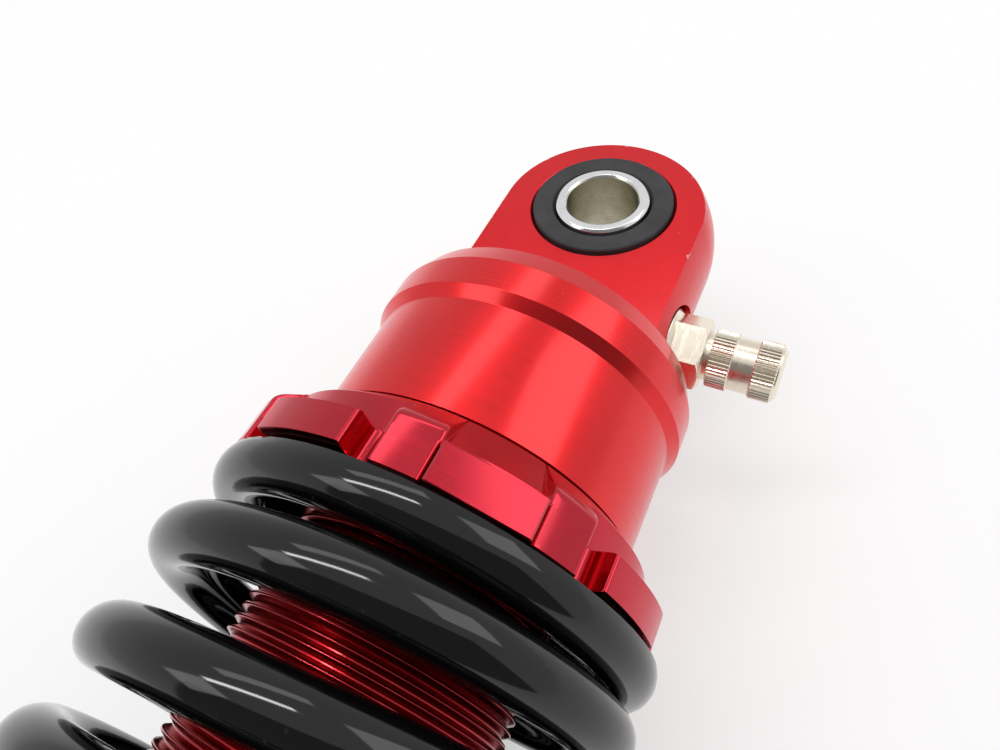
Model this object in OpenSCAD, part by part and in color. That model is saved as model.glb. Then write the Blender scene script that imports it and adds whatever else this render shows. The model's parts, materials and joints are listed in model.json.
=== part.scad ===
// Coil-over rear shock with a gas reservoir in its upper cap.
// The shock lies along X with its upper eye at the origin and its lower eye towards minus X.
// Both eye bores run along Z. The gas valve points to minus Y.

/* [Overall] */
// Distance between the two eye centres
eye_to_eye = 260; // [255:1:290]
// Travel of the shaft into the tube
stroke = 45; // [35:1:48]

/* [Eyes and bushes] */
// Bolt bore through each sleeve
bolt_bore_d = 12.1; // [10:0.1:12.6]
// Outer diameter of each sleeve
sleeve_d = 16; // [14.5:0.1:17.5]
// Height by which each sleeve stands out of its rubber, on each side
sleeve_stand = 0.5; // [0.2:0.1:1.5]
// Outer diameter of each rubber bush
bush_d = 23.9; // [21:0.1:25]
// Height by which each rubber bush stands out of its eye, on each side
bush_stand = 0.7; // [0.3:0.1:1]
// Radius of the ball end and the round neck that each eye is milled from
eye_r = 19.6; // [18.5:0.1:21]
// Distance of the ball's centre from the bush bore, towards the shock's middle
ball_shift = 0.8; // [0:0.1:2]
// Thickness of each eye between its two flats
eye_t = 18.4; // [17:0.1:19]
// Bevel at the mouths of each bush bore
eye_bevel = 0.5; // [0.2:0.1:0.8]

/* [Upper cap] */
// Upper face of the shoulder, below the upper eye
shoulder_x = 28.4; // [27:0.1:30]
// Radius of the shoulder at its upper face
shoulder_r = 23.9; // [22.5:0.1:24.8]
// Height of the taper between the shoulder face and the flange
taper_h = 3.2; // [2:0.1:4]
// Radius of the flange
flange_r = 25.3; // [24.6:0.1:26.5]
// Height of the flange
flange_h = 4.9; // [3:0.1:6]
// Height of the bevel under the flange
flange_bevel_h = 1.7; // [1:0.1:2.5]
// Outer radius of the bell
bell_r = 24.1; // [23:0.1:24.5]
// Lower rim of the bell, below the upper eye
bell_end_x = 54.7; // [52:0.1:57]
// Radius of the reservoir bore in the bell
reservoir_r = 20; // [19.6:0.1:21]
// Top of the reservoir bore, below the upper eye
reservoir_top_x = 34.5; // [33:0.1:35]

/* [Gas valve] */
// Place of the valve axis, below the upper eye
valve_x = 18.8; // [17.9:0.1:19.5]
// Turn of the hexagon about the valve axis, in degrees
hex_turn = 22; // [0:1:60]
// Hexagon size across flats
hex_flats = 10.2; // [9:0.1:10.8]
// Height of the hexagon
hex_h = 8.1; // [6:0.1:9]
// Radius of the pocket round the hexagon
pocket_r = 6.9; // [6.6:0.1:7.4]
// Floor of the pocket, from the shock axis
pocket_floor = 15; // [14:0.1:15.6]
// Radius of the valve thread in the cap
valve_thread_r = 4; // [3.5:0.1:4.4]
// Radius of the valve stem under the dust cap
stem_r = 3.85; // [3.6:0.05:3.9]
// Length of the valve stem outside the hexagon
stem_len = 9.3; // [8.5:0.1:10]
// Outer radius of the dust cap's knurled bands
cap_r = 4.65; // [4.5:0.05:5]
// Thickness of the dust cap's closed end
cap_top_t = 1.6; // [1.5:0.1:3]
// Number of knurl teeth round the dust cap
knurl_teeth = 32; // [24:1:40]

/* [Tube and thread] */
// Radius over the crests of the thread
thread_r = 18.6; // [18:0.1:19]
// Pitch of the thread
thread_pitch = 1.5; // [1:0.25:2]
// Thread left below the ring at its lowest place
thread_spare = 40; // [20:1:50]
// Radius of the tube bore
tube_bore_r = 15.5; // [14.5:0.1:16]

/* [Preload ring] */
// Radius of the ring's hub at its upper rim
hub_r = 23.6; // [22:0.1:24.5]
// Radius of the groove floors
groove_r = 27.2; // [25.5:0.1:28]
// Radius of the lands beside each pad
land_r = 30; // [29:0.1:30.5]
// Radius of the lobes
lobe_r = 31.3; // [30.6:0.1:32]
// Distance of each flat pad from the shock axis
pad_reach = 31.1; // [30.6:0.1:31.8]
// Drop from the hub's upper rim to the upper edge of the lands
land_drop = 4.5; // [3:0.1:5.5]
// Height of the ring
ring_h = 11.4; // [10:0.1:13]
// Height of the lobes and pads
lobe_h = 5; // [4:0.1:6]
// Travel of the ring down the tube
preload_travel = 6; // [3:0.5:7]

/* [Spring] */
// Wire diameter
wire_d = 7; // [6:0.1:7.4]
// Mean radius of the coils
coil_r = 29; // [28:0.1:30]
// Number of turns, ends included
coil_turns = 15; // [12:0.5:16]
// Gap between the closed end turns
closed_gap = 1.2; // [0.8:0.1:1.4]
// Angle of the wire's upper end about the shock axis
wire_start = 290; // [0:1:359]
// Thickness of the washer above the spring
washer_t = 0.3; // [0.2:0.1:1.5]

/* [Shaft and pistons] */
// Shaft radius
shaft_r = 7; // [6:0.1:7.5]
// Radius of the threaded nose that carries the piston
nose_r = 4; // [3.5:0.1:4.5]
// Thickness of the main piston
piston_t = 12; // [9:0.5:15]
// Thickness of each shim stack
shim_t = 1.8; // [1:0.1:3]
// Thickness of the floating piston
floater_t = 6; // [5:0.1:6.4]
// Length of the seal head inside the tube
seal_head_len = 15; // [14:0.5:20]
// Height of the bump stop
bump_h = 14; // [10:0.5:16]

/* [Lower end] */
// Height of the spring's lower seat above the lower eye centre
lower_seat = 33; // [31:0.5:36]
// Width of the lower perch outside the spring
perch_lip = 0.5; // [0.2:0.1:2]
// Thickness of the lower perch
perch_t = 5; // [4:0.1:6]

/* [Hidden] */

// Facets of a turned piece
round_fn = 96;
// Angle between the points of a ball end's profile
ball_step = 5;
// Overlap of a cut past the face it opens
over = 1;
// Radial clearance of a running fit
running_gap = 0.05;
// Gap between faces that only rest on each other
rest_gap = 0.1;
// Gap between pieces that pass each other
clear_gap = 0.3;
// Radial wall of every O-ring groove
o_ring_depth = 1.6;
// Width of every O-ring
o_ring_w = 2;

// Lengths of the bush pieces in each eye
bush_len = eye_t + 2 * bush_stand;
sleeve_len = bush_len + 2 * sleeve_stand;

// Places along the shock, measured from the upper eye towards the lower eye
flange_top = shoulder_x + taper_h;
flange_end = flange_top + flange_h;
bell_top = flange_end + flange_bevel_h;
ring_top = bell_end_x + clear_gap;
ring_end = ring_top + ring_h;
lobe_top = ring_end - lobe_h;
washer_top = ring_end + rest_gap;
spring_top = washer_top + washer_t + running_gap;
spring_end = eye_to_eye - lower_seat - running_gap;
perch_top = eye_to_eye - lower_seat;
perch_end = perch_top + perch_t;

// Tube plug in the bell, and the floating piston above it
plug_inset = 0.5;
plug_h = 6.7;
floater_rest = 0.5;
plug_end = bell_end_x - plug_inset;
plug_top = plug_end - plug_h;
floater_end = plug_top - floater_rest;
floater_top = floater_end - floater_t;

// Lower eye: boss through the perch, then the bump stop
boss_r = 12.5;
boss_stand = 1;
boss_top = perch_top - boss_stand;
bump_washer_t = 1;
bump_end = boss_top - bump_washer_t;
bump_top = bump_end - bump_h;
bump_r = 14.5;
seat_flange_r = 20;
seat_flange_t = 4;
lower_flange_end = perch_end + seat_flange_t;
shaft_step = 1;
shaft_thread_r = shaft_r - shaft_step;
shaft_thread_len = 14;

// Seal head at the tube's lower end
gland_flange_t = 2.6;
gland_end = bump_top - stroke - clear_gap;
tube_end = gland_end - gland_flange_t;
gland_top = tube_end - seal_head_len;
tube_relief = 0.2;
tube_r = thread_r - tube_relief;

// Bores in the seal head for the guide bush and the two lip seals
guide_wall = 1.5;
seal_wall = 3;
seal_h = 3;
guide_r = shaft_r + guide_wall;
seal_r = shaft_r + seal_wall;
guide_top = gland_top + seal_h;
guide_end = gland_end - seal_h;

// Stack on the shaft's nose, from the seal head up
bumper_end = gland_top - clear_gap;
bumper_h = 4;
nose_root = bumper_end - bumper_h;
rebound_top = nose_root - shim_t;
piston_top = rebound_top - piston_t;
compression_top = piston_top - shim_t;
nut_h = 6.5;
nut_flats = 13;
nut_top = compression_top - nut_h;
nose_stand = 2;
nose_top = nut_top - nose_stand;
shim_r = 11;
piston_gap = 0.15;
band_depth = 1.2;
band_shoulder = 2.5;
band_from = piston_top + band_shoulder;
band_end = rebound_top - band_shoulder;
port_count = 6;
port_r = 1.7;
port_circle_r = 9.5;

// Thread on the tube
thread_top_x = bell_end_x + thread_pitch;
thread_end_x = ring_end + preload_travel + thread_spare;
thread_depth = 0.9;
thread_gap = 0.08;
thread_count = floor((thread_end_x - thread_top_x) / thread_pitch);
thread_crest = 0.12;

// Washer under the preload ring, just inside the spring's outside
washer_inset = 3;
washer_r = coil_r + wire_d / 2 - washer_inset;

// Pattern of the preload ring: each quarter holds a pair of lands and a lobe, and every other pair has a pad
quarters = 4;
pads = 2;
pad_angle = 114;
pad_width = 13;
land_from = 12;
land_to = 24;
lobe_half = 13;
pad_lift = 0.4;

// Gas valve, measured outwards from the shock axis
valve_thread_len = 9;
valve_root = pocket_floor - valve_thread_len;
valve_washer_t = 1;
hex_start = pocket_floor + valve_washer_t;
hex_end = hex_start + hex_h;
stem_end = hex_end + stem_len;
hex_bevel = 0.8;
gas_port_r = 1.2;
valve_hole_floor = valve_root - 2 * gas_port_r - rest_gap;
core_r = 2.7;
core_bore_r = 0.9;
core_len = 12;
core_inset = 0.6;
core_end = stem_end - core_inset;
core_start = core_end - core_len;
pin_r = 0.8;
pin_head_r = 1.8;
pin_head_h = 1.6;
pin_inset = 0.3;
pin_end = stem_end - pin_inset;
pin_start = core_start - pin_head_h - rest_gap;
pin_room = 2.5;
neck_gap = 0.9;
cap_start = hex_end + neck_gap;
cap_thread_gap = 0.1;
cap_bore_r = stem_r + cap_thread_gap;
gasket_t = 0.5;
gasket_start = stem_end + rest_gap;
cap_bore_end = gasket_start + gasket_t + rest_gap;
cap_end = cap_bore_end + cap_top_t;
cap_band = 3.4;
waist_depth = 0.4;
cap_waist_r = cap_r - waist_depth;
cap_dome_h = 0.7;
dome_step = 0.9;
cap_dome_r = cap_r - dome_step;
knurl_depth = 0.28;

// Coil ends: the first turns lie close, and their crowns are ground flat at the seats
rings_per_turn = 24;
wire_sides = 8;
wire_r = wire_d / 2;
wire_rings = round(coil_turns * rings_per_turn);
ring_step = coil_turns / wire_rings;
perch_r = coil_r + wire_r + perch_lip;
tip_t = wire_d / 4;
deepest_cut = 0.95;
closed_pitch = wire_d + closed_gap;
closed_turns = 1.15;
ease_turns = 0.6;
end_flat = 2.5;
flat_centre = 0.43;
flat_lean = 0.44;
flat_turns = 2.1;
coil_run = spring_end - spring_top + 2 * (wire_r - tip_t);
open_turns = coil_turns - 2 * closed_turns - ease_turns;
open_gain = (coil_run - closed_pitch * coil_turns) / open_turns;

red = [0.80, 0.08, 0.09];
crimson = [0.66, 0.04, 0.13];
dark_red = [0.50, 0.03, 0.06];
black = [0.03, 0.03, 0.035];
rubber = [0.10, 0.10, 0.11];
steel = [0.78, 0.78, 0.80];
nickel = [0.72, 0.69, 0.64];
bronze = [0.62, 0.45, 0.25];
alloy = [0.70, 0.71, 0.73];
elastomer = [0.85, 0.72, 0.25];

// Revolves [radius, place] points about the shock axis, where place runs towards the lower eye.
// An angle is counted from plus Y towards plus Z.
module turned(points, from = 0, span = 360) {
    rotate([-90, 0, 0]) rotate([0, -90, 0]) rotate([0, 0, -from - span])
        rotate_extrude(angle = span, $fn = round_fn) polygon(points);
}

// Plain ring about the shock axis
module ring(outer, inner, from, to) {
    turned([[inner, from], [outer, from], [outer, to], [inner, to]]);
}

// Plain disc or rod about the shock axis
module rod(r, from, to) {
    turned([[0, from], [r, from], [r, to], [0, to]]);
}

// Puts children on the valve axis, with their Z pointing out of the cap
module on_valve() {
    translate([-valve_x, 0, 0]) rotate([90, 0, 0]) children();
}

// Puts children at the centre of an eye
module at_eye(place) {
    translate([-place, 0, 0]) children();
}

// Ball end of an eye and its round neck about the shock axis, milled flat on both faces.
// The neck runs from the ball's centre to another place.
module eye_block(centre, to) {
    outward = centre < to ? -1 : 1;
    ball = [for (q = [90:-ball_step:0]) [eye_r * cos(q), centre + outward * eye_r * sin(q)]];
    reach = eye_r + over;
    from = max(centre, to) + reach;
    intersection() {
        turned(concat(ball, [[eye_r, to], [0, to]]));
        translate([-from, -reach, -eye_t / 2])
            cube([abs(to - centre) + 2 * reach, 2 * reach, eye_t]);
    }
}

// Bush bore through an eye, with bevelled mouths
module eye_bore() {
    bore_r = bush_d / 2 + running_gap;
    mouth_r = bore_r + eye_bevel + over;
    half = eye_t / 2;
    rotate_extrude($fn = round_fn) polygon([
        [0, -half - over], [mouth_r, -half - over], [bore_r, -half + eye_bevel],
        [bore_r, half - eye_bevel], [mouth_r, half + over], [0, half + over]
    ]);
}

// Rubber bush with softened outer rims and a shallow groove beside the sleeve
module bush_rubber() {
    half = bush_len / 2;
    outer = bush_d / 2;
    inner = sleeve_d / 2 + running_gap;
    rim = 0.7;
    groove = 0.6;
    color(rubber) rotate_extrude($fn = round_fn) polygon([
        [inner, -half + 2 * groove], [inner + groove, -half], [outer - rim, -half], [outer, -half + rim],
        [outer, half - rim], [outer - rim, half], [inner + groove, half], [inner, half - 2 * groove]
    ]);
}

// Steel sleeve with bevelled rims
module bush_sleeve() {
    half = sleeve_len / 2;
    outer = sleeve_d / 2;
    inner = bolt_bore_d / 2;
    rim = 0.4;
    color(steel) rotate_extrude($fn = round_fn) polygon([
        [inner, -half + rim], [inner + rim, -half], [outer - rim, -half], [outer, -half + rim],
        [outer, half - rim], [outer - rim, half], [inner + rim, half], [inner, half - rim]
    ]);
}

// O-ring as a plain rounded band that fills its groove
module o_ring(outer, from) {
    edge = 0.4;
    inner = outer - o_ring_depth;
    color(black) turned([
        [inner, from + edge], [inner + edge, from], [outer - edge, from], [outer, from + edge],
        [outer, from + o_ring_w - edge], [outer - edge, from + o_ring_w], [inner + edge, from + o_ring_w],
        [inner, from + o_ring_w - edge]
    ]);
}

// Groove for an O-ring of the same outer radius
module o_ring_groove(outer, from) {
    to = from + o_ring_w;
    ring(outer + over, outer - o_ring_depth - running_gap, from - running_gap, to + running_gap);
}

module eyelet_cap() {
    color(red) difference() {
        union() {
            eye_block(ball_shift, shoulder_x + over);
            turned([
                [0, shoulder_x], [shoulder_r, shoulder_x], [flange_r, flange_top], [flange_r, flange_end],
                [bell_r, bell_top], [bell_r, bell_end_x], [0, bell_end_x]
            ]);
        }
        eye_bore();
        rod(reservoir_r, reservoir_top_x, bell_end_x + over);
        on_valve() translate([0, 0, pocket_floor]) cylinder(r = pocket_r, h = eye_r, $fn = round_fn);
        on_valve() translate([0, 0, valve_hole_floor])
            cylinder(r = valve_thread_r + running_gap, h = pocket_floor, $fn = round_fn);
        translate([-valve_x, -valve_hole_floor - gas_port_r, 0]) rotate([0, -90, 0])
            cylinder(r = gas_port_r, h = reservoir_top_x - valve_x + over, $fn = round_fn);
    }
}

module upper_bush_rubber() {
    bush_rubber();
}

module upper_bush_sleeve() {
    bush_sleeve();
}

// Valve stem: thread in the cap, bevelled hexagon, then the stem under the dust cap
module valve_body() {
    hex_r = hex_flats / 2 / cos(30);
    color(nickel) on_valve() difference() {
        union() {
            translate([0, 0, valve_root])
                cylinder(r = valve_thread_r, h = hex_start - valve_root, $fn = round_fn);
            intersection() {
                translate([0, 0, hex_start]) rotate([0, 0, hex_turn])
                    cylinder(r = hex_r, h = hex_h, $fn = 6);
                rotate_extrude($fn = round_fn) polygon([
                    [0, hex_start], [hex_r - hex_bevel, hex_start], [hex_r + over, hex_start + hex_bevel],
                    [hex_r + over, hex_end - hex_bevel], [hex_r - hex_bevel, hex_end], [0, hex_end]
                ]);
            }
            translate([0, 0, hex_end - over]) cylinder(r = stem_r, h = stem_len + over, $fn = round_fn);
        }
        translate([0, 0, valve_root - over]) cylinder(r = gas_port_r, h = stem_end, $fn = round_fn);
        translate([0, 0, pin_start - pin_room]) cylinder(r = core_r, h = stem_end, $fn = round_fn);
    }
}

module valve_washer() {
    color(black) on_valve() translate([0, 0, pocket_floor]) difference() {
        cylinder(r = hex_flats / 2, h = valve_washer_t, $fn = round_fn);
        translate([0, 0, -over])
            cylinder(r = valve_thread_r + running_gap, h = valve_washer_t + 2 * over, $fn = round_fn);
    }
}

module valve_core() {
    color(bronze) on_valve() translate([0, 0, core_start]) difference() {
        cylinder(r = core_r - running_gap, h = core_len, $fn = round_fn);
        translate([0, 0, -over]) cylinder(r = core_bore_r, h = core_len + 2 * over, $fn = round_fn);
    }
}

module valve_core_pin() {
    color(bronze) on_valve() {
        translate([0, 0, pin_start]) cylinder(r = pin_head_r, h = pin_head_h, $fn = round_fn);
        translate([0, 0, pin_start]) cylinder(r = pin_r, h = pin_end - pin_start, $fn = round_fn);
    }
}

// Toothed band of the dust cap
module knurl(from, len) {
    step = 360 / knurl_teeth;
    translate([0, 0, from]) linear_extrude(len) polygon([
        for (i = [0:2 * knurl_teeth - 1])
            let (
                r = i % 2 == 0 ? cap_r : cap_r - knurl_depth,
                a = i * step / 2
            )
            [r * cos(a), r * sin(a)]
    ]);
}

module valve_cap() {
    dome_start = cap_end - cap_dome_h;
    color(nickel) on_valve() difference() {
        union() {
            knurl(cap_start, cap_band);
            knurl(dome_start - cap_band, cap_band);
            translate([0, 0, cap_start])
                cylinder(r = cap_waist_r, h = dome_start - cap_start, $fn = round_fn);
            translate([0, 0, dome_start])
                cylinder(r1 = cap_r - knurl_depth, r2 = cap_dome_r, h = cap_dome_h, $fn = round_fn);
        }
        translate([0, 0, cap_start - over])
            cylinder(r = cap_bore_r, h = cap_bore_end - cap_start + over, $fn = round_fn);
    }
}

module valve_cap_gasket() {
    color(rubber) on_valve() translate([0, 0, gasket_start])
        cylinder(r = cap_bore_r - running_gap, h = gasket_t, $fn = round_fn);
}

module floating_piston() {
    outer = reservoir_r - running_gap;
    groove_from = floater_top + floater_t / 2 - o_ring_w / 2;
    dish = 2.5;
    wall = 3.5;
    color(alloy) difference() {
        rod(outer, floater_top, floater_end);
        rod(outer - o_ring_depth - wall, floater_top - over, floater_top + dish);
        o_ring_groove(outer, groove_from);
    }
}

module floating_piston_o_ring() {
    o_ring(reservoir_r - running_gap, floater_top + floater_t / 2 - o_ring_w / 2);
}

// Plug in the bell, then the tube with its thread as a row of V grooves
module damper_tube() {
    plug_r = reservoir_r - running_gap;
    groove_from = plug_top + plug_h / 2 - o_ring_w / 2;
    grooves = [
        for (i = [0:thread_count - 1])
            let (x = thread_top_x + i * thread_pitch) each [
                [thread_r, x + thread_crest],
                [thread_r - thread_depth, x + thread_pitch / 2],
                [thread_r, x + thread_pitch - thread_crest]
            ]
    ];
    color(dark_red) difference() {
        turned(concat(
            [[tube_bore_r, plug_top], [plug_r, plug_top], [plug_r, plug_end], [thread_r, plug_end]],
            grooves,
            [[thread_r, thread_end_x], [tube_r, thread_end_x], [tube_r, tube_end], [tube_bore_r, tube_end]]
        ));
        o_ring_groove(plug_r, groove_from);
    }
}

module tube_o_ring() {
    o_ring(reservoir_r - running_gap, plug_top + plug_h / 2 - o_ring_w / 2);
}

// Cut outside the groove floor, over part of a turn
module ring_window(from, span) {
    outer = land_r + over;
    turned([
        [groove_r, ring_top - over], [outer, ring_top - over],
        [outer, ring_end + over], [groove_r, ring_end + over]
    ], from, span);
}

// Hub cone cut into four pairs of lands, with a lobe between the pairs and a flat pad inside every other pair
module preload_ring() {
    bore = thread_r + thread_gap;
    root = groove_r - over;
    seat = ring_end - pad_lift;
    quarter = 360 / quarters;
    color(crimson) {
        difference() {
            turned([
                [bore, ring_top], [hub_r, ring_top], [land_r, ring_top + land_drop],
                [land_r, ring_end], [bore, ring_end]
            ]);
            for (q = [0:quarters - 1]) {
                centre = pad_angle + q * quarter;
                ring_window(centre - land_from, 2 * land_from);
                ring_window(centre + land_to, quarter - 2 * land_to);
            }
        }
        for (p = [0:pads - 1])
            rotate([pad_angle + p * 360 / pads, 0, 0]) translate([-seat, root, -pad_width / 2])
                cube([seat - lobe_top, pad_reach - root, pad_width]);
        for (q = [0:quarters - 1])
            turned([
                [root, lobe_top], [lobe_r, lobe_top], [lobe_r, seat], [root, seat]
            ], pad_angle + (q + 0.5) * quarter - lobe_half, 2 * lobe_half);
    }
}

module spring_washer() {
    color(black) ring(washer_r, thread_r + clear_gap, washer_top, washer_top + washer_t);
}

// Extra length gained by the open turns, for a turn count t from the wire's end
function opened(t) = t <= 0 ? 0 : t < ease_turns ? t * t / (2 * ease_turns) : t - ease_turns / 2;

// Small shift that sets an end turn flat, fading over the first turns
function flattened(t) =
    t > flat_turns ? 0 : end_flat * (1 - t / flat_turns) * (sin(360 * (t - flat_centre)) + flat_lean);

// Place of the wire's centre along the shock at turn t
function coil_place(t) =
    spring_top - wire_r + tip_t + closed_pitch * t
    + open_gain * (opened(t - closed_turns) - opened(t - (coil_turns - closed_turns - ease_turns)))
    - flattened(t) + flattened(coil_turns - t);

// Half angle of the wire section that is left where a seat, at height h above the centre, cuts the crown
function kept_half(h) =
    h >= wire_r ? 180
    : min(180, (90 + asin(max(-deepest_cut, h / wire_r))) * wire_sides / (wire_sides - 1));

// One ring of points round the wire at turn t
function wire_ring(t) =
    let (
        place = coil_place(t),
        upper = t < coil_turns / 2,
        height = upper ? place - spring_top : spring_end - place,
        half = kept_half(height),
        a = wire_start - 360 * t
    )
    [
        for (k = [0:wire_sides - 1])
            let (
                side = upper ? 1 : -1,
                step = upper ? k : (k + wire_sides / 2) % wire_sides,
                turn = half * (2 * (step + 0.5) / wire_sides - 1),
                r = coil_r + side * wire_r * sin(turn),
                x = place + side * wire_r * cos(turn)
            )
            [-x, r * cos(a), r * sin(a)]
    ];

// Least gap between neighbouring turns, measured on centre points a turn apart
coil_gaps = [
    for (i = [0:wire_rings - rings_per_turn])
        let (t = i * ring_step) coil_place(t + 1) - coil_place(t) - wire_d
];
echo(least_gap_between_turns = min(coil_gaps));
echo(open_pitch = closed_pitch + open_gain);

module coil_spring() {
    n = wire_sides;
    points = [for (i = [0:wire_rings]) each wire_ring(i * ring_step)];
    faces = concat(
        [for (k = [1:n - 2]) [0, k, k + 1]],
        [for (i = [0:wire_rings - 1], k = [0:n - 1])
            let (a = i * n + k, b = i * n + (k + 1) % n) each [[a, a + n, b], [b, a + n, b + n]]],
        [for (k = [1:n - 2]) [wire_rings * n, wire_rings * n + k + 1, wire_rings * n + k]]
    );
    color(black) polyhedron(points, faces);
}

// Seal head: guides and seals the shaft, with a flange under the tube's end
module seal_head() {
    outer = tube_bore_r - running_gap;
    groove_from = gland_top + seal_head_len / 2;
    color(alloy) difference() {
        union() {
            rod(outer, gland_top, tube_end + over);
            rod(tube_r, tube_end, gland_end);
        }
        rod(shaft_r + running_gap, gland_top - over, gland_end + over);
        rod(guide_r + running_gap, guide_top, guide_end);
        rod(seal_r + running_gap, gland_top - over, guide_top);
        rod(seal_r + running_gap, guide_end, gland_end + over);
        o_ring_groove(outer, groove_from);
    }
}

module seal_head_o_ring() {
    o_ring(tube_bore_r - running_gap, gland_top + seal_head_len / 2);
}

module shaft_guide_bush() {
    color(bronze) ring(guide_r, shaft_r + running_gap, guide_top + running_gap, guide_end - running_gap);
}

module shaft_seal() {
    color(black) ring(seal_r, shaft_r + running_gap, gland_top + running_gap, guide_top - running_gap);
}

// Wiper with a thin lip that stands out of the seal head
module shaft_wiper() {
    lip = 0.9;
    inner = shaft_r + running_gap;
    color(black) turned([
        [inner, guide_end + running_gap], [seal_r, guide_end + running_gap],
        [seal_r, gland_end - running_gap], [inner + lip, gland_end - running_gap]
    ]);
}

// Shaft with a threaded nose for the piston and a threaded foot in the lower eye
module damper_shaft() {
    color(steel) union() {
        rod(nose_r, nose_top, nose_root + over);
        rod(shaft_r, nose_root, boss_top);
        rod(shaft_thread_r, boss_top - over, boss_top + shaft_thread_len);
    }
}

module top_out_bumper() {
    color(elastomer) ring(shim_r, shaft_r + running_gap, nose_root, bumper_end);
}

// Stack of thin discs on the nose, the widest against the piston
module shims(from, to, widest_at_end) {
    layers = 3;
    shrink = 1.5;
    layer_t = (to - from) / layers;
    color(steel) for (i = [0:layers - 1]) {
        rank = widest_at_end ? layers - 1 - i : i;
        ring(shim_r - rank * shrink, nose_r + running_gap, from + i * layer_t, from + (i + 1) * layer_t);
    }
}

module rebound_shims() {
    shims(rebound_top, nose_root, false);
}

module compression_shims() {
    shims(compression_top, piston_top, true);
}

module main_piston() {
    outer = tube_bore_r - piston_gap;
    color(alloy) difference() {
        rod(outer, piston_top, rebound_top);
        rod(nose_r + running_gap, piston_top - over, rebound_top + over);
        ring(outer + over, tube_bore_r - band_depth - running_gap, band_from, band_end);
        for (i = [0:port_count - 1])
            rotate([i * 360 / port_count, 0, 0]) translate([0, port_circle_r, 0])
                rod(port_r, piston_top - over, rebound_top + over);
    }
}

module piston_band() {
    color(bronze) ring(
        tube_bore_r - running_gap, tube_bore_r - band_depth, band_from + running_gap, band_end - running_gap
    );
}

module piston_nut() {
    color(steel) difference() {
        translate([-compression_top, 0, 0]) rotate([0, 90, 0])
            cylinder(d = nut_flats / cos(30), h = nut_h, $fn = 6);
        rod(nose_r + running_gap, nut_top - over, compression_top + over);
    }
}

module bump_washer() {
    color(steel) ring(bump_r, shaft_r + running_gap, bump_end, boss_top);
}

// Elastomer stop with a waist
module bump_stop() {
    inner = shaft_r + clear_gap;
    waist = 2.2;
    nose = 2.5;
    nose_h = 3.5;
    foot_h = 2.1;
    nose_end = bump_top + nose_h;
    foot_top = bump_end - foot_h;
    color(elastomer) turned([
        [inner, bump_top], [bump_r - nose, bump_top], [bump_r, nose_end],
        [bump_r - waist, (nose_end + foot_top) / 2], [bump_r, foot_top], [bump_r, bump_end],
        [inner, bump_end]
    ]);
}

// Dish under the spring, with a collar that centres the lowest turn
module lower_spring_perch() {
    collar_h = 6;
    collar_wall = 3;
    collar_r = coil_r - wire_r - clear_gap;
    collar_bore = collar_r - collar_wall;
    collar_top = perch_top - collar_h;
    rim = 0.8;
    hole = boss_r + running_gap;
    color(crimson) turned([
        [hole, perch_top], [collar_bore, perch_top], [collar_bore, collar_top],
        [collar_r - rim, collar_top], [collar_r, collar_top + rim], [collar_r, perch_top],
        [perch_r - rim, perch_top], [perch_r, perch_top + rim], [perch_r, perch_end - rim],
        [perch_r - rim, perch_end], [hole, perch_end]
    ]);
}

// Lower eye with the round seat and boss that carry the perch and the shaft
module lower_eyelet() {
    color(red) difference() {
        union() {
            eye_block(eye_to_eye - ball_shift, lower_flange_end - over);
            rod(seat_flange_r, perch_end, lower_flange_end);
            rod(boss_r, boss_top, perch_end + over);
        }
        at_eye(eye_to_eye) eye_bore();
        rod(shaft_thread_r + running_gap, boss_top - over, boss_top + shaft_thread_len + clear_gap);
    }
}

module lower_bush_rubber() {
    at_eye(eye_to_eye) bush_rubber();
}

module lower_bush_sleeve() {
    at_eye(eye_to_eye) bush_sleeve();
}

eyelet_cap();
upper_bush_rubber();
upper_bush_sleeve();
valve_body();
valve_washer();
valve_core();
valve_core_pin();
valve_cap();
valve_cap_gasket();
floating_piston();
floating_piston_o_ring();
damper_tube();
tube_o_ring();
preload_ring();
spring_washer();
coil_spring();
seal_head();
seal_head_o_ring();
shaft_guide_bush();
shaft_seal();
shaft_wiper();
damper_shaft();
top_out_bumper();
rebound_shims();
main_piston();
piston_band();
compression_shims();
piston_nut();
bump_washer();
bump_stop();
lower_spring_perch();
lower_eyelet();
lower_bush_rubber();
lower_bush_sleeve();
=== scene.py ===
import json
from bisect import bisect_right
from math import acos, atan, cos, degrees, pi, radians, sin, tan

import bmesh
import bpy
from mathutils import Matrix, Vector

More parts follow.
